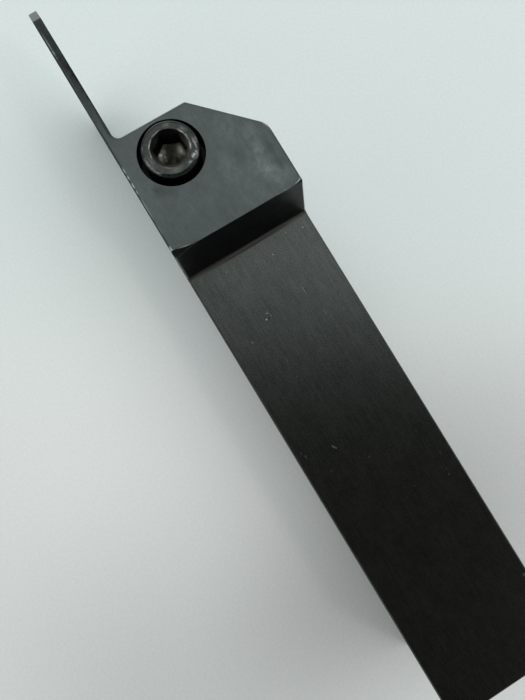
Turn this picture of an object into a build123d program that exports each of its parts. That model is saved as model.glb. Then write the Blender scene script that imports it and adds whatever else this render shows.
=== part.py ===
from build123d import *
import os
from math import cos, radians, sin, tan

# Right-hand holder for thin grooving and parting inserts, 25 x 25 mm shank (millimetres).
# +X points from the shank's rear end to the cutting edge, +Y to the side that the blade is
# flush with, +Z up. The origin is the middle of the footprint, on the bottom face.

# ------------------------------------------------------------------ driving dimensions
# Shank
shank_width = 25.0
shank_height = 25.0            # the cutting edge lies level with the shank's top
tool_length = 150.0            # rear end to the cutting edge of a fitted insert
edge_overhang = 1.2            # the cutting edge stands this far ahead of the lower jaw
side_break = 0.3               # chamfer round both sides of the holder
rear_break = 0.5               # chamfer across the top and bottom of the rear end

# Head
head_rise = 8.0                # head's top above the shank's top
head_length = 21.75            # flat top, from the step to the head's front
corner_cut = 10.25             # 45 degree cut across the head's front corner
corner_cut_radius = 3.0        # where that cut runs into the side
ramp_run = 2.7                 # how far the step's ramp leans back over its height
foot_run = 0.7                 # flat at the foot of the ramp: behind the ramp's line
foot_rise = 0.3                # and up the ramp
left_filing = (1.0, 6.0, 1.1)  # rounded end of the step's edge: along X, along Y, down
right_filing = (0.6, 2.4, 0.7)

# Blade
blade_thickness = 1.6
blade_reach = 33.65            # lower jaw's front ahead of the head's front
root_radius = 1.2              # upright hollow where the blade leaves the head
inner_break = 0.5              # chamfer along the blade's inner side and the head's front
fall_start = 0.65              # the upper jaw's back starts to fall this far ahead of the head
fall_angle = 1.5               # degrees, how it starts, then it curves further down to the nose
nose_height = 5.5              # upper jaw's top above the cutting edge, at the nose
nose_setback = 7.2             # where the nose bevel starts, behind the lower jaw's front
beak_height = 0.6              # end of the nose bevel above the cutting edge
beak_setback = 1.2             # end of the upper jaw, behind the lower jaw's front
front_relief = 7.0             # degrees, lower jaw's front face
toe_height = 7.0               # below this the blade's front is cut away
toe_angle = 40.0               # degrees from level, the cut under the toe
toe_radius = 2.0

# Insert pocket, clamping slit and hinge
insert_length = 16.0
insert_height = 3.5
prism_angle = 120.0            # included angle of the seat's ridge and of the jaw's rib
rib_drop = 0.4                 # the jaw's rib reaches this far below the cutting edge
slit_width = 1.0
slit_drop = 2.1                # the slit's middle below the cutting edge
hinge_radius = 2.0             # relief bore at the slit's closed end
hinge_setback = 2.8            # its axis ahead of the step

# Clamp screw, M6 x 20 socket head cap screw
screw_from_step = 15.1         # the screw's axis ahead of the step
screw_from_flush_side = 8.55   # and in from the blade's side
screw_radius = 3.0
screw_length = 20.0
screw_head_radius = 4.85
screw_head_height = 6.0
screw_head_chamfer = 0.5
screw_foot_chamfer = 0.25      # round the underside of the screw's head
screw_tip_chamfer = 0.8
under_head_radius = 0.2
screw_proud = 1.6              # the head stands this far out of its counterbore
hex_across_flats = 5.0
hex_depth = 3.5                # at the corners, the end is hollowed to a cone
hex_mouth_radius = 3.25        # countersink at the socket's mouth
hex_mouth_angle = 90.0
hex_turn = 6.0                 # degrees, how the socket happens to stand
point_angle = 120.0            # conical ends of the socket and of the tapped hole

# Clearances
counterbore_gap = 0.85         # round the screw's head
shank_hole_gap = 0.3           # round the screw in the upper jaw
thread_play = 0.05             # round the screw in its tapped hole
tip_gap = 1.6                  # under the screw's end
cutter_margin = 5.0            # how far a cutting shape runs past the metal
tiny = 0.01                    # slack for finding edges by their place

# ------------------------------------------------------------------ derived places
body_length = tool_length - edge_overhang
x_rear = -body_length / 2
x_front = body_length / 2
x_head_front = x_front - blade_reach
x_step = x_head_front - head_length
x_ramp_foot = x_step - ramp_run
x_fall = x_head_front + fall_start
x_beak = x_front - beak_setback
x_nose = x_front - nose_setback
x_hinge = x_step + hinge_setback
x_screw = x_step + screw_from_step
x_pocket_back = x_front + edge_overhang - insert_length

y_flush = shank_width / 2
y_open = -shank_width / 2
y_blade = y_flush - blade_thickness
y_screw = y_flush - screw_from_flush_side

z_edge = shank_height
z_nose = z_edge + nose_height
z_beak = z_edge + beak_height
z_head = shank_height + head_rise
z_seat = z_edge - insert_height
z_rib = z_edge - rib_drop
z_jaw_gap = (z_seat + z_rib) / 2
z_slit = z_edge - slit_drop
z_screw_seat = z_head + screw_proud - screw_head_height
z_screw_top = z_screw_seat + screw_head_height
z_screw_tip = z_screw_seat - screw_length
z_tapped_end = z_screw_tip - tip_gap

x_toe = x_front - (z_seat - toe_height) * tan(radians(front_relief))
x_toe_foot = x_toe - toe_height / tan(radians(toe_angle))
foot_lean = ramp_run / head_rise * foot_rise
tapped_radius = screw_radius + thread_play
hex_corner_radius = hex_across_flats / 2 / cos(radians(30))


def drilled_point(radius):
    """Height of the cone that a drill or punch of this radius leaves."""
    return radius / tan(radians(point_angle / 2))


# ------------------------------------------------------------------ holder
with BuildPart() as holder:
    # Side view over the full width: shank, step, head and relieved front
    with BuildSketch(Plane.XZ):
        with BuildLine():
            Polyline(
                (x_rear, 0),
                (x_toe_foot, 0),
                (x_toe, toe_height),
                (x_front, z_seat),
                (x_front, z_jaw_gap),
                (x_beak, z_jaw_gap),
                (x_beak, z_head),
                (x_step, z_head),
                (x_ramp_foot + foot_lean, shank_height + foot_rise),
                (x_ramp_foot - foot_run, shank_height),
                (x_rear, shank_height),
                close=True,
            )
        make_face()
        fillet(vertices().sort_by_distance((x_toe, toe_height))[0], toe_radius)
    extrude(amount=shank_width / 2, both=True)

    # Top view: the thin blade, its root, the head's front and the cut corner
    with BuildSketch(Plane.XY):
        with BuildLine():
            Polyline(
                (x_rear, y_open),
                (x_head_front - corner_cut, y_open),
                (x_head_front, y_open + corner_cut),
                (x_head_front, y_blade),
                (x_front, y_blade),
                (x_front, y_flush),
                (x_rear, y_flush),
                close=True,
            )
        make_face()
        fillet(vertices().sort_by_distance((x_head_front - corner_cut, y_open))[0], corner_cut_radius)
        fillet(vertices().sort_by_distance((x_head_front, y_blade))[0], root_radius)
    extrude(amount=z_head, mode=Mode.INTERSECT)

    # Broken edges: the rear end, both sides all round, the blade's inner side and the head's front
    rear_end = faces().sort_by(Axis.X)[0]
    chamfer(rear_end.edges().filter_by(Axis.Y), rear_break)
    flush_side = faces().filter_by(Axis.Y).sort_by(Axis.Y)[-1]
    open_side = faces().filter_by(Axis.Y).sort_by(Axis.Y)[0]
    chamfer(flush_side.edges() + open_side.edges(), side_break)
    blade_top = edges().filter_by_position(Axis.Y, y_blade - tiny, y_blade + tiny)
    blade_top = blade_top.filter_by_position(Axis.Z, z_head - tiny, z_head + tiny)
    head_top = edges().filter_by_position(Axis.Z, z_head - tiny, z_head + tiny)
    front_top = head_top.filter_by_position(Axis.X, x_head_front - tiny, x_head_front + root_radius - tiny)
    chamfer(blade_top + front_top, inner_break)

    # Upper jaw: its back falls in a long curve to a bevelled nose, both cut after the edges were broken
    fall_direction = (cos(radians(fall_angle)), -sin(radians(fall_angle)))
    with BuildSketch(Plane.XZ):
        with BuildLine():
            TangentArc((x_fall, z_head), (x_nose, z_nose), tangent=fall_direction)
            Polyline(
                (x_nose, z_nose),
                (x_beak, z_beak),
                (x_front + cutter_margin, z_beak),
                (x_front + cutter_margin, z_head + cutter_margin),
                (x_fall, z_head + cutter_margin),
                (x_fall, z_head),
            )
        make_face()
    extrude(amount=shank_width, both=True, mode=Mode.SUBTRACT)

    # Step: each end of its top edge is filed round, deepest at the holder's side
    for side, (along_x, along_y, down) in ((1, left_filing), (-1, right_filing)):
        ahead = Vector(x_step + along_x, side * shank_width / 2, z_head)
        below = Vector(x_step - down * ramp_run / head_rise, side * shank_width / 2, z_head - down)
        slope = (below - ahead).normalized()
        inward = Vector(0, -side, 0)
        outward = slope.cross(inward) * side
        depth = outward.dot(Vector(x_step, side * shank_width / 2, z_head) - ahead)
        arc_radius = (along_y**2 + depth**2) / (2 * depth)
        with BuildSketch(Plane(ahead, x_dir=inward, z_dir=inward.cross(outward))):
            with BuildLine():
                over = Polyline((along_y, depth), (along_y, 2 * depth), (-along_y, 2 * depth))
                RadiusArc((along_y, depth), (0, 0), -arc_radius)
                Polyline((0, 0), (-along_y, 0), over @ 1)
            make_face()
        extrude(amount=cutter_margin, both=True, mode=Mode.SUBTRACT)

    # Insert pocket, open to the front: the seat is a ridge and the upper jaw a rib
    prism_rise = shank_width / 2 / tan(radians(prism_angle / 2))
    y_middle = y_flush - blade_thickness / 2
    with BuildSketch(Plane.YZ.offset(x_pocket_back)):
        with BuildLine():
            Polyline(
                (y_middle, z_seat),
                (y_middle + shank_width / 2, z_seat - prism_rise),
                (y_middle + shank_width / 2, z_rib + prism_rise),
                (y_middle, z_rib),
                (y_middle - shank_width / 2, z_rib + prism_rise),
                (y_middle - shank_width / 2, z_seat - prism_rise),
                close=True,
            )
        make_face()
    extrude(amount=x_front - x_pocket_back + cutter_margin, mode=Mode.SUBTRACT)

    # Clamping slit from the pocket back to a round relief bore, through the full width
    with BuildSketch(Plane.XZ):
        with Locations(((x_hinge + x_pocket_back) / 2, z_slit)):
            Rectangle(x_pocket_back - x_hinge + tiny, slit_width)
        with Locations((x_hinge, z_slit)):
            Circle(hinge_radius)
    extrude(amount=shank_width, both=True, mode=Mode.SUBTRACT)

    # Screw hole: counterbore and free hole in the upper jaw, tapped hole below the slit
    with Locations((x_screw, y_screw, z_head)):
        CounterBoreHole(
            radius=screw_radius + shank_hole_gap,
            counter_bore_radius=screw_head_radius + counterbore_gap,
            counter_bore_depth=z_head - z_screw_seat,
            depth=z_head - z_slit,
        )
    with Locations((x_screw, y_screw, z_slit)):
        Hole(tapped_radius, depth=z_slit - z_tapped_end)
    with Locations((x_screw, y_screw, z_tapped_end)):
        Cone(
            0,
            tapped_radius,
            drilled_point(tapped_radius),
            align=(Align.CENTER, Align.CENTER, Align.MAX),
            mode=Mode.SUBTRACT,
        )

# ------------------------------------------------------------------ clamp screw
screw_axis = Axis((x_screw, y_screw, 0), (0, 0, 1))

with BuildPart() as clamp_screw:
    # Half section, turned round the axis
    with BuildSketch(Plane((x_screw, y_screw, z_screw_seat), x_dir=(1, 0, 0), z_dir=(0, -1, 0))):
        with BuildLine():
            Polyline(
                (0, -screw_length),
                (screw_radius - screw_tip_chamfer, -screw_length),
                (screw_radius, screw_tip_chamfer - screw_length),
                (screw_radius, 0),
                (screw_head_radius - screw_foot_chamfer, 0),
                (screw_head_radius, screw_foot_chamfer),
                (screw_head_radius, screw_head_height - screw_head_chamfer),
                (screw_head_radius - screw_head_chamfer, screw_head_height),
                (0, screw_head_height),
                close=True,
            )
        make_face()
        fillet(vertices().sort_by_distance((screw_radius, 0))[0], under_head_radius)
    revolve(axis=screw_axis)

    # Socket: a hexagon down to the cone's point, filled again below the cone, and a countersunk mouth
    socket_point = hex_depth + drilled_point(hex_corner_radius)
    with BuildSketch(Plane.XY.offset(z_screw_top)):
        with Locations((x_screw, y_screw)):
            RegularPolygon(hex_across_flats / 2, 6, major_radius=False, rotation=hex_turn)
    extrude(amount=-socket_point, mode=Mode.SUBTRACT)
    with BuildSketch(Plane((x_screw, y_screw, z_screw_top), x_dir=(1, 0, 0), z_dir=(0, -1, 0))):
        with BuildLine():
            Polyline(
                (0, -socket_point),
                (hex_corner_radius, -hex_depth),
                (hex_corner_radius, -socket_point),
                close=True,
            )
        make_face()
    revolve(axis=screw_axis)
    with Locations((x_screw, y_screw, z_screw_top)):
        Cone(
            0,
            hex_mouth_radius,
            hex_mouth_radius / tan(radians(hex_mouth_angle / 2)),
            align=(Align.CENTER, Align.CENTER, Align.MAX),
            mode=Mode.SUBTRACT,
        )

# ------------------------------------------------------------------ parts
holder.part.label = "holder"
clamp_screw.part.label = "clamp_screw"

os.makedirs("parts", exist_ok=True)
export_step(holder.part, "parts/holder.step")
export_step(clamp_screw.part, "parts/clamp_screw.step")
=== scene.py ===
import bmesh
import bpy
from math import cos, exp, radians, sin, tan
from mathutils import Matrix, Vector, noise


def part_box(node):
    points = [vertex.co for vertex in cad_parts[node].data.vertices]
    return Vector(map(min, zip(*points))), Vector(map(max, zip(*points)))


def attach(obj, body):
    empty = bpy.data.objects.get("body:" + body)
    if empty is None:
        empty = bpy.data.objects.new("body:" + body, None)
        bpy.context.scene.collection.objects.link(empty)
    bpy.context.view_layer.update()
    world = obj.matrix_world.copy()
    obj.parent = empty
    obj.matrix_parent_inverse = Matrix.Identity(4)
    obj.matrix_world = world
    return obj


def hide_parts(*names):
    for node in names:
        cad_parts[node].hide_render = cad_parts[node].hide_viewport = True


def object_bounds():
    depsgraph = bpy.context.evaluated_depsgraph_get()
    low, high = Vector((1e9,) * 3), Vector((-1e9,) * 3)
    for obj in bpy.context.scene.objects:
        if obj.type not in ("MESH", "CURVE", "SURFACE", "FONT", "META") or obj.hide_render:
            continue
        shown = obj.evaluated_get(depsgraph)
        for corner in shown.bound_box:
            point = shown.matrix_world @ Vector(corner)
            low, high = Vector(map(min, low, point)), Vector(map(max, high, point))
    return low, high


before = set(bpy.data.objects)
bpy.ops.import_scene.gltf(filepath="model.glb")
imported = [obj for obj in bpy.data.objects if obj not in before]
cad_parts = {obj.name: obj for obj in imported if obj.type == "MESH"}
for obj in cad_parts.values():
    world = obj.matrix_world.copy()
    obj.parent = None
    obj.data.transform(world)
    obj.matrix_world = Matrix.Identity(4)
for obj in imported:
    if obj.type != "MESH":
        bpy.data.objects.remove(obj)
cad_low, cad_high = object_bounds()

MM = 0.001

# ------------------------------------------------------------------ places taken from the frame
holder_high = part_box("holder")[1]
screw_low, screw_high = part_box("clamp_screw")
screw_axis = Vector(((screw_low.x + screw_high.x) / 2, (screw_low.y + screw_high.y) / 2))

# ------------------------------------------------------------------ the view
PHOTO_WIDTH = 525                       # the picture's frame, in pixels
FOCAL_PIXELS = 476.1
SENSOR_WIDTH = 36.0
CAMERA_PLACE = Vector((-4.48, 12.40, 110.08)) * MM
CAMERA_AIM = Vector((-1.43, 7.51, 25.0)) * MM
CAMERA_CLIP = (5 * MM, 20.0)            # nearest and farthest that it sees, in metres
PICTURE_UP = radians(-31.17)            # compass direction, from +X, of the picture's upward side

picture_up = Vector((cos(PICTURE_UP), sin(PICTURE_UP), 0))
picture_right = Vector((sin(PICTURE_UP), -cos(PICTURE_UP), 0))
camera_foot = Vector((CAMERA_PLACE.x, CAMERA_PLACE.y, 0))


def add(name, data):
    """A new object in the scene."""
    made = bpy.data.objects.new(name, data)
    bpy.context.scene.collection.objects.link(made)
    return made


def make_camera():
    """The photograph's viewpoint: close above the shank, looking almost straight down."""
    forward = (CAMERA_AIM - CAMERA_PLACE).normalized()
    right = forward.cross(picture_up).normalized()
    up = right.cross(forward)
    data = bpy.data.cameras.new("camera")
    data.sensor_fit = "HORIZONTAL"
    data.sensor_width = SENSOR_WIDTH
    data.lens = FOCAL_PIXELS / PHOTO_WIDTH * SENSOR_WIDTH
    data.clip_start, data.clip_end = CAMERA_CLIP
    camera = add("camera", data)
    turn = Matrix((right, up, -forward)).transposed()
    camera.matrix_world = Matrix.Translation(CAMERA_PLACE) @ turn.to_4x4()
    bpy.context.scene.camera = camera


# ------------------------------------------------------------------ short ways to build nodes
class Nodes:
    """A node tree. A value is a number, a colour, a vector or another node's output."""

    def __init__(self, tree):
        self.tree = tree

    def node(self, kind, **settings):
        made = self.tree.nodes.new(kind)
        for key, value in settings.items():
            setattr(made, key, value)
        return made

    def put(self, socket, value):
        if isinstance(value, bpy.types.NodeSocket):
            self.tree.links.new(value, socket)
        else:
            socket.default_value = value

    def vector(self, operation, *values):
        made = self.node("ShaderNodeVectorMath", operation=operation)
        for socket, value in zip(made.inputs, values):
            self.put(socket, value)
        return made.outputs["Value" if operation in ("LENGTH", "DOT_PRODUCT") else "Vector"]

    def maths(self, operation, *values, clamp=False):
        made = self.node("ShaderNodeMath", operation=operation, use_clamp=clamp)
        for socket, value in zip(made.inputs, values):
            self.put(socket, value)
        return made.outputs["Value"]

    def part(self, vector, axis):
        """A vector's X, Y or Z."""
        made = self.node("ShaderNodeSeparateXYZ")
        self.put(made.inputs[0], vector)
        return made.outputs[axis]


class Finish(Nodes):
    """A node material. Its places and lengths are millimetres in the frame of the object that wears it: the
    shared frame for the holder and the stage, and one that starts at the middle of its seat for the screw."""

    def __init__(self, name, colour, metallic, roughness):
        self.material = bpy.data.materials.new(name)
        self.material.use_nodes = True
        super().__init__(self.material.node_tree)
        self.shader = self.tree.nodes["Principled BSDF"]
        self.set("Base Color", (*colour, 1))
        self.set("Metallic", metallic)
        self.set("Roughness", roughness)

    def set(self, name, value):
        self.put(self.shader.inputs[name], value)

    def place(self):
        coordinates = self.node("ShaderNodeTexCoord").outputs["Object"]
        return self.vector("MULTIPLY", coordinates, (1 / MM, 1 / MM, 1 / MM))

    def ahead(self):
        """How far a place is from the camera's foot along the picture's upward direction."""
        along = self.vector("DOT_PRODUCT", self.place(), picture_up)
        return self.maths("SUBTRACT", along, (camera_foot / MM).dot(picture_up))

    def mix(self, amount, a, b):
        """Colour a where amount is 0 and b where it is 1."""
        made = self.node("ShaderNodeMix", data_type="RGBA")
        self.put(made.inputs["Factor"], amount)
        for name, colour in (("A", a), ("B", b)):
            self.put(made.inputs[name], colour if isinstance(colour, bpy.types.NodeSocket) else (*colour, 1))
        return next(out for out in made.outputs if out.type == "RGBA")

    def scaled(self, colour, amount):
        """A colour times an amount."""
        made = self.vector("SCALE", colour)
        self.put(made.node.inputs["Scale"], amount)
        return made

    def ease(self, value, low, high, to_low=0.0, to_high=1.0):
        """Smooth step of a value from low to high."""
        made = self.node("ShaderNodeMapRange", interpolation_type="SMOOTHSTEP")
        names = ("Value", "From Min", "From Max", "To Min", "To Max")
        for name, number in zip(names, (value, low, high, to_low, to_high)):
            self.put(made.inputs[name], number)
        return made.outputs["Result"]

    def sway(self, value, low, high, reach):
        """Smooth step of a value from low to high that goes from -reach to reach."""
        return self.ease(value, low, high, -reach, reach)

    def noise(self, place, per_mm, detail=3.0, roughness=0.55, seed=0.0):
        """Noise from about 0 to 1. per_mm is how many of its lumps lie on a millimetre, along X, Y and Z
        where it is three numbers."""
        along = per_mm if isinstance(per_mm, tuple) else (per_mm, per_mm, per_mm)
        made = self.node("ShaderNodeTexNoise", noise_dimensions="4D")
        self.put(made.inputs["Vector"], self.vector("MULTIPLY", place, along))
        for name, number in (("W", seed), ("Scale", 1.0), ("Detail", detail), ("Roughness", roughness)):
            self.put(made.inputs[name], number)
        return made.outputs["Factor"] if "Factor" in made.outputs else made.outputs["Fac"]

    def spot(self, place, centre, reach):
        """1 in the middle of an ellipsoid, falling to 0 at its reach along X, Y and Z."""
        away = self.vector("LENGTH", self.vector("DIVIDE", self.vector("SUBTRACT", place, centre), reach))
        return self.ease(away, 0.0, 1.0, 1.0, 0.0)

    def spots(self, place, listed):
        """Sum of spots, each a centre, a reach and a strength."""
        total = 0.0
        for centre, reach, strength in listed:
            lit = self.maths("MULTIPLY", self.spot(place, centre, reach), strength)
            total = self.maths("ADD", total, lit)
        return total

    def band(self, value, middle, reach):
        """1 where a value is at the middle, falling to 0 at the reach on both sides."""
        away = self.maths("ABSOLUTE", self.maths("SUBTRACT", value, middle))
        return self.ease(away, 0.0, reach, 1.0, 0.0)

    def bump(self, height, depth):
        made = self.node("ShaderNodeBump")
        self.put(made.inputs["Height"], height)
        self.put(made.inputs["Distance"], depth * MM)
        self.set("Normal", made.outputs["Normal"])


# ------------------------------------------------------------------ light
ROOM_COLOUR = (0.93, 1.0, 0.99)
ROOM_STRENGTH = 1.08
ROOM_LEAN = 0.25                        # how much brighter it is ahead, and darker behind, unless mirrored
MIRRORED_ROOM = (                       # sine of the elevation, and how bright the metal mirrors it there
    (0.0, 0.28), (0.5, 0.38), (0.68, 0.55), (0.78, 0.92), (0.86, 1.12), (1.0, 1.03),
)


def make_world():
    """An evenly pale room. What the metal mirrors of it gets darker toward the horizon."""
    world = bpy.data.worlds.new("room")
    world.use_nodes = True
    bpy.context.scene.world = world
    room = Nodes(world.node_tree)
    background = room.tree.nodes["Background"]
    room.put(background.inputs["Color"], (*ROOM_COLOUR, 1))
    direction = room.node("ShaderNodeTexCoord").outputs["Generated"]
    ramp = room.node("ShaderNodeValToRGB")
    ramp.color_ramp.interpolation = "B_SPLINE"
    stops = ramp.color_ramp.elements
    for place, level in MIRRORED_ROOM[2:]:
        stops.new(place)
    for stop, (place, level) in zip(stops, MIRRORED_ROOM):
        stop.position = place
        stop.color = (level, level, level, 1)
    room.put(ramp.inputs["Fac"], room.part(direction, "Z"))
    lean = room.maths("MULTIPLY_ADD", room.vector("DOT_PRODUCT", direction, picture_up), ROOM_LEAN, 1.0)
    choice = room.node("ShaderNodeMix")
    room.put(choice.inputs["Factor"], room.node("ShaderNodeLightPath").outputs["Is Glossy Ray"])
    room.put(choice.inputs["A"], lean)
    room.put(choice.inputs["B"], ramp.outputs["Color"])
    room.put(background.inputs["Strength"], room.maths("MULTIPLY", choice.outputs["Result"], ROOM_STRENGTH))


CARD_HEIGHT = 112 * MM                  # a card close over the tool, as the phone and hand may have been
CARD_UP = (-220 * MM, 40 * MM)          # from the camera's foot, along the picture's upward direction
CARD_RIGHT = (-30 * MM, 140 * MM)
CARD_FADE = (-8.0, 38.0)                # it turns from dark to pale between these, in mm, in that direction
CARD_COLOUR = (0.034, 0.025, 0.015)
CARD_PALE = (0.95, 1.0, 0.99)
SCREEN_UP = -190 * MM                   # a dark upright screen beyond the picture's lower edge
SCREEN_RIGHT = (-250 * MM, 250 * MM)
SCREEN_HEIGHT = (90 * MM, 440 * MM)


def make_card(name, corners, cloth):
    """A card that the camera doesn't see. Its corners are right of, up from and above the camera's foot."""
    mesh = bpy.data.meshes.new(name)
    places = [camera_foot + picture_right * right + picture_up * up + Vector((0, 0, high))
              for right, up, high in corners]
    mesh.from_pydata(places, [], [(0, 1, 2, 3)])
    mesh.materials.append(cloth.material)
    card = add(name, mesh)
    card.visible_camera = False
    return card


def make_cards():
    """The dark cards that give the shank its fall from grey at the head to near black at its lower end."""
    cloth = Finish("card_over_cloth", CARD_COLOUR, 0.0, 1.0)
    cloth.set("Base Color", cloth.mix(cloth.ease(cloth.ahead(), *CARD_FADE), CARD_COLOUR, CARD_PALE))
    left, right = CARD_RIGHT
    low, high = CARD_UP
    over = make_card("card_over", [
        (left, low, CARD_HEIGHT), (right, low, CARD_HEIGHT),
        (right, high, CARD_HEIGHT), (left, high, CARD_HEIGHT)], cloth)
    over.visible_diffuse = False
    over.visible_shadow = False
    left, right = SCREEN_RIGHT
    low, high = SCREEN_HEIGHT
    make_card("card_behind", [
        (left, SCREEN_UP, low), (right, SCREEN_UP, low),
        (right, SCREEN_UP, high), (left, SCREEN_UP, high)],
        Finish("card_behind_cloth", CARD_COLOUR, 0.0, 1.0))


LAMP_PLACE = Vector((-0.4046, -0.1988, 0.5355))
LAMP_SIZE = 60 * MM
LAMP_POWER = 0.3                        # watts
LAMP_COLOUR = (1.0, 0.93, 0.85)


def make_lamp():
    """A small warm soft box that looks at the middle of the tool. The metal doesn't mirror it."""
    data = bpy.data.lights.new("lamp", "AREA")
    data.shape = "SQUARE"
    data.size = LAMP_SIZE
    data.energy = LAMP_POWER
    data.color = LAMP_COLOUR
    lamp = add("lamp", data)
    lamp.location = LAMP_PLACE
    lamp.rotation_mode = "QUATERNION"
    lamp.rotation_quaternion = (-LAMP_PLACE).to_track_quat("-Z", "Y")
    lamp.visible_glossy = False


# ------------------------------------------------------------------ floor
FLOOR_HALF = 1.5                        # half its side, in metres
FLOOR_COLOUR = (0.76, 0.80, 0.795)
LOW_FLOOR_COLOUR = (0.785, 0.772, 0.770)    # toward the picture's lower edge: a more neutral tint, painted shade
FLOOR_TURN = (-25.0, 55.0)              # from the low colour to the other, in mm ahead of the camera's foot
PAPER_LEVEL = 0.95
PAPER_FIBRES = 0.035                    # how much the paper's fibres lighten and darken it
PAINTED_FLOOR_LIGHT_AND_SHADE = (                        # painted light and shade, soft lighter and darker areas: mm up and right from the camera's foot, reach, strength
    (12, -20, 78, 0.17),
    (-76, -14, 64, -0.20),
    (-56, 18, 36, -0.16),
    (-24, 62, 50, -0.20),
)


def make_floor():
    """Pale paper with painted light and shade: softly lighter and darker areas near the tool, and a more
    neutral tint toward the picture's lower edge.
    """
    mesh = bpy.data.meshes.new("floor")
    corners = [(x * FLOOR_HALF, y * FLOOR_HALF, cad_low.z) for x, y in ((-1, -1), (1, -1), (1, 1), (-1, 1))]
    mesh.from_pydata(corners, [], [(0, 1, 2, 3)])
    paper = Finish("paper", FLOOR_COLOUR, 0.0, 0.9)
    place = paper.place()
    painted_light_and_shade = [(camera_foot / MM + picture_up * up + picture_right * right, (reach, reach, reach), strength)
              for up, right, reach, strength in PAINTED_FLOOR_LIGHT_AND_SHADE]
    fibres = paper.noise(place, 1.6, roughness=0.7, seed=12.0)
    # painted light and shade of the soft areas, added to the paper's level
    level = paper.maths("ADD", paper.spots(place, painted_light_and_shade), PAPER_LEVEL)
    level = paper.maths("ADD", level, paper.sway(fibres, 0.25, 0.75, PAPER_FIBRES))
    # the paper's more neutral tint toward the picture's lower edge is painted shade
    colour = paper.mix(paper.ease(paper.ahead(), *FLOOR_TURN), LOW_FLOOR_COLOUR, FLOOR_COLOUR)
    paper.set("Base Color", paper.scaled(colour, level))
    mesh.materials.append(paper.material)
    add("floor", mesh)


# ------------------------------------------------------------------ finishes of the metal
OXIDE = (0.092, 0.102, 0.101)           # black oxide on the head and the blade
SHANK_OXIDE = (0.097, 0.100, 0.0965)
WORN = (0.62, 0.63, 0.61)               # bare steel where the oxide is rubbed off
STRIP_REFLECTION_TONE = (0.112, 0.105, 0.096)           # the flat strip at the foot of the step; its warm tone, lighter than the oxide, is painted reflection
BORE_SHADE_COLOUR = (0.035, 0.037, 0.036)           # the counterbore and the holes, darker than the oxide: painted shade
TO_HEAD = (26.0, 32.0)                  # heights, in mm, between which the shank's look turns to the head's
HEAD_GROUND = 0.35                      # how much of the shank's ground texture the head has
# How much each of these lightens and darkens the oxide
BROAD, MOTTLE, GROUND_LINES, SPECKLE = 0.04, 0.10, 0.13, 0.25
PATCH_WANDER = 0.8                      # how far the patches' outlines wander, in mm
TEXTURE_DEPTH = 0.004                   # of lines and speckle, in mm

# Places along the holder's edges where the oxide is rubbed off: centre, reach, strength
EDGE_WEAR = (
    ((35.3, 12.14, 33.0), (1.0, 0.22, 0.5), 0.9),
    ((33.9, 12.12, 33.0), (0.7, 0.26, 0.5), 1.3),
    ((32.4, 12.14, 33.0), (0.8, 0.26, 0.5), 1.3),
    ((31.1, 12.14, 33.0), (0.6, 0.2, 0.5), 0.8),
    ((28.0, 12.16, 33.0), (3.4, 0.16, 0.5), 0.55),
    ((23.9, 12.12, 33.0), (1.8, 0.14, 0.5), 0.45),
    ((64.6, 12.1, 31.5), (1.1, 0.24, 1.5), 0.9),
    ((61.8, 12.1, 31.5), (1.4, 0.24, 1.5), 1.1),
    ((59.6, 12.1, 31.8), (0.9, 0.26, 1.5), 1.3),
    ((57.3, 12.1, 31.9), (2.2, 0.2, 1.5), 0.7),
    ((53.0, 12.14, 32.3), (4.0, 0.16, 1.5), 0.3),
    ((20.1, 12.2, 33.0), (0.8, 0.6, 0.6), 1.2),
    ((19.5, 9.9, 33.0), (0.6, 1.7, 0.5), 1.0),
    ((19.4, -11.6, 33.1), (0.7, 1.1, 0.45), 1.2),
    ((19.1, -9.0, 33.1), (0.6, 2.2, 0.45), 0.5),
    ((19.0, 0.0, 33.1), (0.5, 9.5, 0.4), 0.12),
    ((30.2, -12.0, 33.0), (1.6, 0.8, 0.6), 0.5),
    ((20.2, 12.5, 25.4), (0.6, 0.6, 0.8), 0.5),
    ((-21.6, 11.9, 25.0), (2.6, 0.4, 0.5), 0.25),
)
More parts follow.
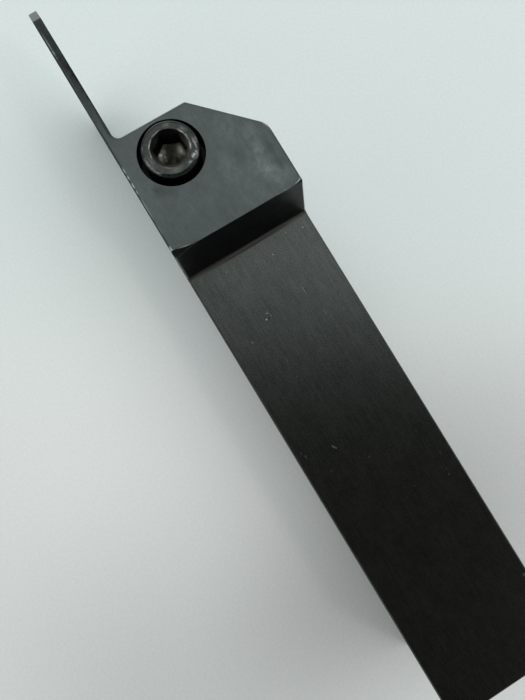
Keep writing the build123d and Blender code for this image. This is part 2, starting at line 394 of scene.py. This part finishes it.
# The same on flat faces, as small chips and scratches
CHIPS = (
    ((-22.52, 5.70, 25.0), (0.22, 0.20, 0.4), 1.3),
    ((-22.82, 5.52, 25.0), (0.22, 0.20, 0.4), 1.5),
    ((-23.12, 5.33, 25.0), (0.20, 0.18, 0.4), 1.2),
    ((2.88, 4.05, 25.0), (0.26, 0.30, 0.4), 1.0),
    ((3.77, 3.44, 25.0), (0.18, 0.36, 0.4), 0.6),
    ((3.18, 2.93, 25.0), (0.2, 0.2, 0.4), 0.3),
    ((-59.41, -11.56, 25.0), (0.4, 0.3, 0.4), 0.8),
    ((-21.60, 10.77, 25.0), (0.55, 0.18, 0.4), 0.5),
    ((-20.66, 11.23, 25.0), (0.45, 0.16, 0.4), 0.35),
    ((-37.62, -9.52, 25.0), (0.24, 0.22, 0.4), 0.6),
    ((-36.53, -9.63, 25.0), (0.3, 0.16, 0.4), 0.3),
    ((0.64, 8.36, 25.0), (0.45, 0.16, 0.4), 0.4),
    ((-27.52, 1.06, 25.0), (0.24, 0.22, 0.4), 0.45),
    ((-33.52, -10.25, 25.0), (0.30, 0.16, 0.4), 0.35),
    ((-36.05, -3.12, 25.0), (0.22, 0.2, 0.4), 0.3),
    ((13.97, -10.38, 25.0), (0.24, 0.2, 0.4), 0.35),
    ((-29.54, 8.90, 25.0), (0.24, 0.2, 0.4), 0.25),
    ((12.44, -3.11, 25.0), (0.2, 0.2, 0.4), 0.45),
    ((-26.13, 8.13, 25.0), (0.2, 0.24, 0.4), 0.4),
    ((-27.97, -8.57, 25.0), (0.2, 0.2, 0.4), 0.3),
    ((-8.68, 4.68, 25.0), (0.3, 0.16, 0.4), 0.3),
    ((-5.30, 4.72, 25.0), (0.5, 0.12, 0.4), 0.22),
    ((4.00, -4.56, 25.0), (1.2, 0.12, 0.4), 0.2),
    ((-1.37, -5.73, 25.0), (0.9, 0.13, 0.4), 0.22),
    ((-29.27, -6.25, 25.0), (0.2, 0.2, 0.4), 0.25),
    ((13.99, 5.78, 25.0), (0.2, 0.2, 0.4), 0.25),
    ((14.67, -7.13, 25.0), (0.2, 0.2, 0.4), 0.25),
    ((61.2, 12.12, 31.5), (4.6, 0.20, 3.0), 0.40),
    ((59.7, 12.08, 31.5), (0.6, 0.26, 3.0), 0.30),
    ((54.0, 12.10, 32.0), (4.0, 0.16, 3.0), 0.10),
)
# Lighter and darker patches on the head, the step and the blade: centre, reach, strength. The two marked dark
# ones are painted shade.
PATCHES_AND_PAINTED_SHADE = (
    ((30.3, -9.2, 33.0), (2.6, 2.0, 1.0), 0.30),
    ((27.4, -8.6, 33.0), (2.6, 1.6, 1.0), 0.42),
    ((24.2, -8.0, 33.0), (2.6, 2.0, 1.0), 0.60),
    ((21.6, -9.6, 33.0), (2.6, 3.4, 1.0), 0.30),
    ((27.2, -2.9, 33.0), (4.2, 2.4, 1.0), 0.22),
    ((33.4, -6.4, 33.0), (4.0, 3.4, 1.0), 0.20),
    ((37.6, -3.0, 33.0), (2.6, 2.6, 1.0), 0.10),
    ((28.2, -5.5, 33.0), (2.4, 1.3, 1.0), -0.22),
    ((26.6, -10.7, 33.0), (2.6, 0.8, 1.0), -0.26),
    ((23.4, -10.6, 33.0), (2.6, 0.9, 1.0), -0.24),
    ((29.4, 9.0, 33.0), (1.8, 1.6, 1.0), -0.34),
    ((28.4, 7.2, 33.0), (1.2, 2.4, 1.0), -0.2),
    # painted shade: the blade darker than the head, and a dark streak along the blade
    ((58.0, 11.6, 32.0), (26.0, 6.0, 8.0), -0.48),
    ((52.0, 11.05, 32.5), (14.0, 0.4, 3.0), -0.3),
    ((23.5, -6.5, 33.0), (8.0, 7.0, 1.0), 0.13),
    ((17.5, -12.0, 29.0), (4.0, 5.0, 5.0), -0.25),
    ((21.5, 3.0, 33.0), (3.0, 8.0, 1.0), -0.06),
)


def oxide_finish(name, level, wear):
    """Black oxide on steel, rubbed through at the listed places. Level scales its colour: below 1 it is a
    darker copy, painted shade.
    """
    oxide = tuple(level * part for part in OXIDE)
    shank_oxide = tuple(level * part for part in SHANK_OXIDE)
    finish = Finish(name, oxide, 1.0, 0.36)
    place = finish.place()
    height = finish.part(place, "Z")
    broad = finish.noise(place, (0.16, 0.3, 0.3), seed=3.0)
    mottle = finish.noise(place, (0.8, 1.1, 1.1), detail=5.0, roughness=0.65, seed=1.0)
    lines = finish.noise(place, (0.12, 5.0, 5.0), detail=2.0, seed=5.0)
    speckle = finish.noise(place, 4.0, detail=2.0, seed=7.0)
    ground = finish.ease(height, *TO_HEAD, 1.0, HEAD_GROUND)
    lines = finish.maths("MULTIPLY", finish.maths("SUBTRACT", lines, 0.5), ground)
    shade = finish.maths(
        "ADD", finish.sway(mottle, 0.3, 0.7, MOTTLE), finish.sway(lines, -0.2, 0.2, GROUND_LINES))
    shade = finish.maths("ADD", shade, finish.sway(broad, 0.35, 0.65, BROAD))
    speckled = finish.maths("MULTIPLY", finish.sway(speckle, 0.3, 0.7, SPECKLE), ground)
    shade = finish.maths("ADD", shade, speckled)

    wander = finish.vector(
        "MULTIPLY_ADD", finish.noise(place, 0.9, seed=9.0),
        (2 * PATCH_WANDER, 2 * PATCH_WANDER, 0.0), (-PATCH_WANDER, -PATCH_WANDER, 0.0))
    # the oxide's patches, with painted shade on the blade
    patches_and_shade = finish.spots(finish.vector("ADD", place, wander), PATCHES_AND_PAINTED_SHADE)
    patches_and_shade = finish.maths("MULTIPLY", patches_and_shade, finish.ease(mottle, 0.3, 0.65, 0.45, 1.35))
    lightness = finish.maths("ADD", finish.maths("ADD", shade, patches_and_shade), 1.0)
    colour = finish.scaled(finish.mix(finish.ease(height, *TO_HEAD), shank_oxide, oxide), lightness)

    grain = finish.noise(place, 2.5, detail=4.0, roughness=0.7, seed=11.0)
    grain = finish.ease(grain, 0.3, 0.6, 0.5, 1.25)
    rubbed = finish.maths("MULTIPLY", finish.spots(place, wear), grain, clamp=True)
    finish.set("Base Color", finish.mix(rubbed, colour, WORN))
    finish.set("Roughness", finish.ease(mottle, 0.25, 0.75, 0.33, 0.39))
    finish.bump(finish.maths("ADD", lines, finish.maths("MULTIPLY", speckle, 0.6)), TEXTURE_DEPTH)
    return finish.material


# ------------------------------------------------------------------ the holder
WELD = 0.002 * MM                       # vertices closer than this are one
FLAT = radians(0.3)                     # faces that meet at less than this are one
CREASE = radians(18)                    # faces that meet at less than this are shaded as one
SHARP = radians(25)                     # edges sharper than this are rounded
SHORT_EDGE = 0.2 * MM                   # edges shorter than this stay as they are
EDGE_ROUND = 0.07 * MM                  # worn rounding of the holder's sharp edges
STRIP_TOP = 25.6 * MM                   # the strip at the foot of the step lies below this
BEVELLED_NOSE = 66 * MM                 # ahead of this a slanting face is the nose's, not a broken edge
BORE_REACH = 6.0 * MM                   # the counterbore and its holes lie within this of the screw's axis
BORE_TOP = 0.2 * MM                     # and start this far below the head's top
RING_MARK = Vector((3.15, 3.58, 25.0)) * MM
RING_PATCH = 1.0 * MM                   # half the side of the fine patch round the mark
RING_CUTS = 47                          # cuts of each of the patch's sides
RING_RADIUS = 0.45 * MM
RING_WIDTH = 0.09 * MM
RING_DEPTH = 0.045 * MM
RING_LIP = 0.03 * MM                    # height of the lip that is raised outside the groove
LEVEL = 0.001 * MM                      # what lies within this of a height is at that height

# The holder's finishes, by the number of their slot
STEEL, EDGES, FOOT_STRIP, STEP_FACE, BORE = range(5)


def holder_slot(face):
    """The slot of the finish that a face wears. The faces that round the edges are in theirs already."""
    middle, normal = face.calc_center_median(), face.normal
    if middle.z < STRIP_TOP and 0.85 < normal.z < 0.97 and normal.x < -0.2:
        return FOOT_STRIP
    if face.material_index == EDGES:
        return EDGES
    if middle.z > STRIP_TOP and normal.x < -0.4 and abs(normal.y) < 0.6:
        return STEP_FACE
    if 0.6 < normal.z < 0.8 and middle.x < BEVELLED_NOSE:
        return EDGES
    if (middle.xy - screw_axis).length < BORE_REACH and middle.z < holder_high.z - BORE_TOP:
        return BORE
    return STEEL


def bell(value):
    """A bump round 0, of height 1 and width about 1."""
    return exp(-value * value)


def press_ring_mark(mesh):
    """The ring-shaped mark on the shank's top: a fine square patch round it, then the ring pressed in."""
    half = Vector((RING_PATCH, RING_PATCH, 0))
    for axis in (0, 1):
        for side in (-1, 1):
            normal = Vector((0, 0, 0))
            normal[axis] = side
            top = [face for face in mesh.faces
                   if abs(face.calc_center_median().z - RING_MARK.z) < LEVEL and face.normal.z > 0.99]
            edges = {edge for face in top for edge in face.edges}
            verts = {vert for face in top for vert in face.verts}
            bmesh.ops.bisect_plane(
                mesh, geom=[*top, *edges, *verts], dist=1e-7,
                plane_co=RING_MARK + half * side, plane_no=normal)
    patch = min(mesh.faces, key=lambda face: (face.calc_center_median() - RING_MARK).length)
    bmesh.ops.subdivide_edges(mesh, edges=list(patch.edges), cuts=RING_CUTS, use_grid_fill=True)
    for vert in mesh.verts:
        away = (vert.co.xy - RING_MARK.xy).length
        if abs(vert.co.z - RING_MARK.z) < LEVEL and away < RING_PATCH * 0.95:
            off = (away - RING_RADIUS) / RING_WIDTH
            vert.co.z += RING_LIP * bell(off - 2.0) - RING_DEPTH * bell(off)


def make_holder():
    """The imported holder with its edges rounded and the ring-shaped mark on the shank's top."""
    mesh = bmesh.new()
    mesh.from_mesh(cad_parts["holder"].data)
    bmesh.ops.remove_doubles(mesh, verts=mesh.verts, dist=WELD)
    bmesh.ops.dissolve_limit(mesh, angle_limit=FLAT, verts=mesh.verts, edges=mesh.edges)
    for edge in mesh.edges:
        edge.smooth = edge.calc_face_angle(0) < CREASE
    sharp = [edge for edge in mesh.edges
             if edge.calc_face_angle(0) > SHARP and edge.calc_length() > SHORT_EDGE]
    made = bmesh.ops.bevel(
        mesh, geom=sharp, offset=EDGE_ROUND, offset_type="OFFSET", segments=2, profile=0.5,
        affect="EDGES", clamp_overlap=False, miter_outer="SHARP")
    for face in made["faces"]:
        face.material_index = EDGES
        for edge in face.edges:
            edge.smooth = True
    for face in mesh.faces:
        face.smooth = True
        face.material_index = holder_slot(face)
    press_ring_mark(mesh)

    data = bpy.data.meshes.new("holder_worn")
    mesh.to_mesh(data)
    mesh.free()
    for material in (
            oxide_finish("black_oxide", 1.0, CHIPS),
            # a darker copy on the rounded edges and slanting faces: painted shade; its rubbed places are wear
            oxide_finish("oxide_on_edges_painted_shade", 0.8, EDGE_WEAR),
            # warm tone on the foot strip: painted reflection
            Finish("foot_strip", STRIP_REFLECTION_TONE, 1.0, 0.42).material,
            # a darker copy of the oxide on the step's face: painted shade
            oxide_finish("step_face_painted_shade", 0.6, CHIPS),
            # darker colour in the counterbore and its holes: painted shade
            Finish("bore_painted_shade", BORE_SHADE_COLOUR, 1.0, 0.55).material):
        data.materials.append(material)
    holder = add("holder_worn", data)
    weighted = holder.modifiers.new("weighted", "WEIGHTED_NORMAL")
    weighted.keep_sharp = True
    weighted.mode = "FACE_AREA"
    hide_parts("holder")
    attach(holder, "holder")


# ------------------------------------------------------------------ the clamp screw
# Lengths are in millimetres and heights are above the seat of its head.
COLUMNS = 288                           # round the screw, a multiple of the socket's corners and of the teeth
TEETH = 72                              # of the knurl, one every five degrees
HEX_TURN = 6.0                          # degrees, as in the CAD
HEX_FLAT = 2.5                          # from the axis to the socket's flats
HEX_CORNER = HEX_FLAT / cos(radians(30))    # and to its corners
HEX_DEPTH = 3.5
HEX_END = radians(60)                   # half the angle of the socket's conical end
MOUTH = 3.25                            # radius of the socket's countersunk mouth
MOUTH_EDGE = 0.03                       # that its edge is rounded by, inside and outside
HEAD_RADIUS = 4.85
HEAD_HEIGHT = 6.0
VALLEY_RADIUS = 4.7                     # of the knurl
FACE_RADIUS = 4.33                      # of the flat part of the head's face
FACE_DIP = 0.004                        # that it lies below the head's full height by
NECK = 0.2                              # radius of the round between the shank and the head
LENGTH = 20.0
SHANK_RADIUS = 3.0
PITCH = 1.0
THREAD_DEPTH = 0.613
ROWS_PER_PITCH = 6
SCREW_CREASE = radians(32)              # faces that meet at less than this are shaded as one
TIP_RADIUS = 1.0                        # of the tip's first ring
TIP_CHAMFER = 0.8
TIP_RISE = 0.04                         # height of the thread's first row above the tip
THREAD_END = -1.0                       # the thread runs out here
UNDER_HEAD = ((4.6, 0.0), (4.72, 0.12), (4.72, 0.5))    # radius and height
KNURL = (0.75, 5.15)                    # heights of its ends

# The screw's finishes, by the number of their slot
SIDE, FACE, SOCKET, RIM = range(4)
# Radius, height and finish of the rings between the knurl and the head's face
HEAD_EDGE = (
    (4.76, 5.35, SIDE), (4.8, 5.48, SIDE), (4.74, 5.62, FACE), (4.6, 5.78, FACE), (4.43, 5.93, FACE),
    (FACE_RADIUS, 5.975, FACE),
)


def hex_radius(angle):
    """Distance of the socket's wall from the axis, in a direction in degrees."""
    return HEX_FLAT / cos(radians((angle - HEX_TURN) % 60 - 30))


def knurl(angle):
    """Radius of the knurled side between its valleys and its crests."""
    phase = ((angle - HEX_TURN) * TEETH / 360) % 1
    return VALLEY_RADIUS + (HEAD_RADIUS - VALLEY_RADIUS) * (1 - abs(2 * phase - 1)) ** 0.7


def thread(angle, z):
    """Radius of the thread, with flat crests and roots, fading out below the head."""
    phase = (z / PITCH - angle / 360) % 1
    wave = min(1.0, max(0.0, 2.25 * abs(2 * phase - 1) - 0.75))
    crest = min(SHANK_RADIUS, SHANK_RADIUS - TIP_CHAMFER + (z + LENGTH))
    root = SHANK_RADIUS - THREAD_DEPTH
    fade = min(1.0, max(0.0, (THREAD_END - z) / PITCH))
    return crest - max(0.0, crest - root) * (1 - wave) * fade


def uneven(angle, radius):
    """Slight waves that forging leaves on the head's face."""
    place = Vector((radius * cos(radians(angle)), radius * sin(radians(angle)), 0))
    return 0.012 * (noise.noise(place * 1.3) - 0.5) + 0.006 * noise.noise(place * 4.0)


def mouth_height(radius):
    """The socket's countersink."""
    return HEAD_HEIGHT - (MOUTH - radius)


def floor_height(radius):
    """The socket's conical end."""
    return HEAD_HEIGHT - HEX_DEPTH - (HEX_CORNER - radius) / tan(HEX_END)


def screw_rings():
    """The screw's rings from its tip, up the outside, over the head and down into the socket.

    Each is a function from an angle in degrees to a radius and a height, and the finish of the band that
    ends there.
    """
    rings = []

    def circle(radius, z, finish):
        rings.append((lambda angle: (radius, z), finish))

    def thread_row(z):
        rings.append((lambda angle: (thread(angle, z), z), SIDE))

    def knurl_end(z):
        rings.append((lambda angle: (knurl(angle), z), SIDE))

    def face_ring(radius):
        rings.append((lambda angle: (radius, HEAD_HEIGHT - FACE_DIP + uneven(angle, radius)), FACE))

    def countersink_ring(share):
        def ring(angle):
            radius = MOUTH - MOUTH_EDGE + (hex_radius(angle) - MOUTH + MOUTH_EDGE) * share
            return radius, mouth_height(radius)
        rings.append((ring, RIM))

    def wall_ring(share):
        def ring(angle):
            radius = hex_radius(angle)
            top = mouth_height(radius)
            return radius, top + (floor_height(radius) - top) * share
        rings.append((ring, SOCKET))

    def end_ring(share):
        def ring(angle):
            radius = hex_radius(angle) * share
            return radius, floor_height(radius)
        rings.append((ring, SOCKET))

    circle(TIP_RADIUS, -LENGTH, SIDE)
    circle(SHANK_RADIUS - TIP_CHAMFER, -LENGTH, SIDE)
    rows = round((LENGTH + THREAD_END) / PITCH * ROWS_PER_PITCH)
    for row in range(rows + 1):
        thread_row(-LENGTH + TIP_RISE + (LENGTH + THREAD_END) * row / rows)
    for degrees in range(0, 91, 15):
        turn = radians(degrees)
        circle(SHANK_RADIUS + NECK - NECK * cos(turn), -NECK + NECK * sin(turn), SIDE)
    for radius, z in UNDER_HEAD:
        circle(radius, z, SIDE)
    for z in KNURL:
        knurl_end(z)
    for radius, z, finish in HEAD_EDGE:
        circle(radius, z, finish)
    for share in (0.2, 0.4, 0.6, 0.8):
        face_ring(FACE_RADIUS + (MOUTH + 2 * MOUTH_EDGE - FACE_RADIUS) * share)
    circle(MOUTH + 0.05, HEAD_HEIGHT - 0.015, FACE)
    circle(MOUTH - MOUTH_EDGE, HEAD_HEIGHT - 0.055, FACE)
    for share in (0.33, 0.66, 0.94, 1.0):
        countersink_ring(share)
    for share in (0.04, 0.25, 0.5, 0.75, 0.97, 1.0):
        wall_ring(share)
    for share in (0.95, 0.8, 0.6, 0.4, 0.2, 0.08):
        end_ring(share)
    return rings


def make_screw():
    """The clamp screw with its knurled head, hexagon socket and thread."""
    angles = [HEX_TURN + 360 * column / COLUMNS for column in range(COLUMNS)]
    rings = screw_rings()
    verts = [(0, 0, -LENGTH)]
    for ring, finish in rings:
        for angle in angles:
            radius, z = ring(angle)
            verts.append((radius * cos(radians(angle)), radius * sin(radians(angle)), z))
    verts.append((0, 0, floor_height(0)))
    faces, finishes = [], []
    for column in range(COLUMNS):
        after = (column + 1) % COLUMNS
        faces.append((0, 1 + after, 1 + column))
        finishes.append(SIDE)
        for row in range(1, len(rings)):
            low, high = 1 + (row - 1) * COLUMNS, 1 + row * COLUMNS
            faces.append((low + column, low + after, high + after, high + column))
            finishes.append(rings[row][1])
        last = 1 + (len(rings) - 1) * COLUMNS
        faces.append((last + column, last + after, len(verts) - 1))
        finishes.append(SOCKET)
    data = bpy.data.meshes.new("clamp_screw_detailed")
    data.from_pydata([Vector(vert) * MM for vert in verts], [], faces)
    for face, finish in zip(data.polygons, finishes):
        face.material_index = finish
        face.use_smooth = True
    data.set_sharp_from_angle(angle=SCREW_CREASE)
    for material in screw_finishes():
        data.materials.append(material)
    screw = add("clamp_screw_detailed", data)
    screw.location = Vector((screw_axis.x, screw_axis.y, screw_high.z - HEAD_HEIGHT * MM))
    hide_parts("clamp_screw")
    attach(screw, "clamp_screw")


def on_head(angle, radius):
    """A place on the screw's face."""
    return (radius * cos(radians(angle)), radius * sin(radians(angle)), HEAD_HEIGHT)


# Bright places on the screw: centre, reach, strength. Those on the rim of the socket's mouth and on the round
# of the head's edge are painted highlights, those on its face are wear, and those deep in the socket are
# painted glints;
# the socket's duller pale areas are painted light.
RIM_HIGHLIGHTS = (
    (on_head(15, 3.3), (0.9, 1.3, 0.9), 0.35),
    (on_head(52, 3.3), (1.3, 1.2, 0.9), 0.65),
    (on_head(82, 3.3), (1.0, 0.8, 0.9), 0.45),
    (on_head(-62, 3.3), (1.0, 0.8, 0.9), 0.7),
    (on_head(-85, 3.3), (1.2, 0.8, 0.9), 0.35),
    (on_head(-112, 3.3), (1.0, 0.9, 0.9), 0.8),
    (on_head(140, 3.3), (1.4, 1.8, 0.9), 0.2),
)
ROUND_HIGHLIGHTS = (
    (on_head(62, 4.5), (1.0, 0.8, 0.9), 0.4),
    (on_head(98, 4.5), (1.7, 0.8, 0.9), 0.7),
    (on_head(122, 4.5), (1.4, 1.0, 0.9), 1.0),
    (on_head(-100, 4.5), (1.2, 1.0, 0.9), 0.5),
    (on_head(-132, 4.5), (1.2, 1.2, 0.9), 0.8),
)
FACE_WEAR = (
    ((-2.95, -2.85, 6.0), (0.42, 0.56, 0.5), 0.7),
    ((-3.15, -2.45, 6.0), (0.50, 0.26, 0.5), 0.4),
    ((-2.75, -3.35, 6.0), (0.60, 0.20, 0.5), 0.5),
    ((-1.80, -3.85, 6.0), (1.10, 0.20, 0.5), 0.35),
    ((-3.70, -1.70, 6.0), (0.30, 0.55, 0.5), 0.35),
    (on_head(-104, 4.1), (1.0, 0.4, 0.5), 0.3),
    (on_head(-62, 3.8), (0.9, 0.7, 0.5), 0.12),
    (on_head(-22, 3.9), (0.8, 1.0, 0.5), 0.12),
    (on_head(165, 3.7), (1.8, 1.8, 0.5), 0.1),
    (on_head(100, 3.8), (2.0, 0.9, 0.5), 0.06),
)
# painted glints deep in the socket
SOCKET_GLINTS = (
    ((1.6, 1.55, 2.2), (0.38, 0.55, 1.2), 0.9),
    ((1.15, 1.05, 2.2), (0.4, 0.3, 1.2), 0.7),
    ((0.5, 1.15, 2.0), (0.55, 0.25, 1.2), 0.6),
    ((0.55, -1.85, 2.2), (0.75, 0.35, 1.2), 0.6),
    ((-0.35, -2.05, 2.2), (0.5, 0.28, 1.2), 1.0),
    ((0.1, -1.1, 2.0), (0.6, 0.3, 1.2), 0.35),
)
# painted light on the socket's end
SOCKET_PAINTED_LIGHT = (
    ((-0.5, 0.1, 2.0), (1.1, 1.2, 2.0), 1.0),
    ((-0.9, -1.2, 2.0), (1.2, 1.0, 2.0), 0.6),
    ((0.9, 1.8, 2.0), (1.2, 0.7, 2.0), 0.7),
    ((0.6, -1.8, 2.0), (1.3, 0.8, 2.0), 0.8),
    ((-0.9, 1.6, 2.0), (0.8, 0.8, 2.0), 0.5),
    ((1.9, 0.9, 2.0), (0.7, 0.8, 2.0), 0.35),
)
RIM_RADIUS, RIM_REACH = 3.3, 0.22       # of the painted highlight round the mouth
ROUND_RADIUS, ROUND_REACH = 4.52, 0.2   # of the one on the head's edge
RIM_WANDER = 0.14                       # how far the two lines wander
SOCKET_DEEP = (2.3, 2.9)                # heights between which the painted light on the socket's end turns to painted shade on its wall
MOUTH_FADE = (-3.0, 1.5)                # the mouth has painted light behind this, toward the shank, and painted shade ahead

SIDE_OXIDE = (0.03, 0.031, 0.03)
HEAD_GREY = (0.058, 0.062, 0.059)
# bare steel on the face's worn places, and the colour of the painted highlights on its rims
BRIGHT = (0.62, 0.62, 0.59)
# the socket's painted shade, painted light and painted glints
SOCKET_SHADE_COLOUR = (0.012, 0.012, 0.011)
SOCKET_LIT_COLOUR = (0.40, 0.38, 0.31)
SOCKET_GLINT = (0.75, 0.73, 0.66)
# the mouth's painted shade and painted light
MOUTH_SHADE_COLOUR = (0.02, 0.02, 0.019)
MOUTH_LIT_COLOUR = (0.30, 0.285, 0.23)


def face_finish():
    """The head's face: rubbed grey, with worn bright places and painted highlights on its two rims."""
    face = Finish("screw_face", HEAD_GREY, 1.0, 0.38)
    place = face.place()
    mottle = face.noise(place, 1.4, detail=5.0, roughness=0.7, seed=2.0)
    grain = face.noise(place, 4.0, roughness=0.7, seed=4.0)
    lightness = face.maths(
        "ADD", face.ease(mottle, 0.3, 0.7, 0.65, 1.25), face.ease(grain, 0.35, 0.7, -0.15, 0.25))
    from_axis = face.vector("LENGTH", face.vector("MULTIPLY", place, (1.0, 1.0, 0.0)))
    from_axis = face.maths("ADD", from_axis, face.sway(mottle, 0.3, 0.7, RIM_WANDER))
    worn_and_highlit = face.spots(place, FACE_WEAR)
    # the lines on the two rims are painted highlights; the face's spots are wear
    for places, radius, reach in (
            (RIM_HIGHLIGHTS, RIM_RADIUS, RIM_REACH), (ROUND_HIGHLIGHTS, ROUND_RADIUS, ROUND_REACH)):
        highlight_line = face.maths("MULTIPLY", face.spots(place, places), face.band(from_axis, radius, reach))
        worn_and_highlit = face.maths("ADD", worn_and_highlit, highlight_line)
    worn_and_highlit = face.maths("MULTIPLY", worn_and_highlit, face.ease(grain, 0.3, 0.62, 0.3, 1.25), clamp=True)
    face.set("Base Color", face.mix(worn_and_highlit, face.scaled(HEAD_GREY, lightness), BRIGHT))
    face.set("Roughness", face.ease(mottle, 0.3, 0.7, 0.32, 0.42))
    face.bump(face.maths("ADD", grain, mottle), 0.03)
    return face.material


def socket_finish():
    """The socket: painted shade on its walls, painted light on its dull pale end, and a few painted glints.
    """
    socket = Finish("screw_socket", (0.08, 0.078, 0.066), 1.0, 0.42)
    place = socket.place()
    grain = socket.noise(place, 1.3, detail=4.0, roughness=0.65, seed=6.0)
    deep = socket.ease(socket.part(place, "Z"), *SOCKET_DEEP, 1.0, 0.12)
    # painted light on the socket's end, painted shade on its walls
    painted_light = socket.maths("MULTIPLY", deep, socket.maths("ADD", socket.spots(place, SOCKET_PAINTED_LIGHT), 0.22))
    amount = socket.maths("MULTIPLY", socket.ease(grain, 0.35, 0.65, 0.55, 1.1), painted_light, clamp=True)
    glints = socket.maths("MULTIPLY", socket.spots(place, SOCKET_GLINTS), deep, clamp=True)
    colour = socket.mix(amount, SOCKET_SHADE_COLOUR, SOCKET_LIT_COLOUR)
    socket.set("Base Color", socket.mix(glints, colour, SOCKET_GLINT))
    socket.bump(grain, 0.08)
    return socket.material


def mouth_finish():
    """The socket's countersunk mouth, with painted light on the side toward the shank and painted shade on
    the other.
    """
    mouth = Finish("screw_mouth", (0.035, 0.034, 0.030), 1.0, 0.4)
    place = mouth.place()
    grain = mouth.noise(place, 2.0, detail=4.0, roughness=0.65, seed=8.0)
    # painted light on the side toward the shank, painted shade on the other
    lit_side = mouth.ease(mouth.part(place, "X"), *MOUTH_FADE, 1.0, 0.0)
    amount = mouth.maths("MULTIPLY", mouth.ease(grain, 0.3, 0.7, 0.5, 1.0), lit_side)
    mouth.set("Base Color", mouth.mix(amount, MOUTH_SHADE_COLOUR, MOUTH_LIT_COLOUR))
    mouth.bump(grain, 0.03)
    return mouth.material


def screw_finishes():
    """The screw's finishes in the order of their slots."""
    side = Finish("screw_oxide", SIDE_OXIDE, 1.0, 0.45)
    return side.material, face_finish(), socket_finish(), mouth_finish()


make_camera()
make_world()
make_cards()
make_lamp()
make_floor()
make_holder()
make_screw()

bpy.context.scene.view_settings.view_transform = "Standard"
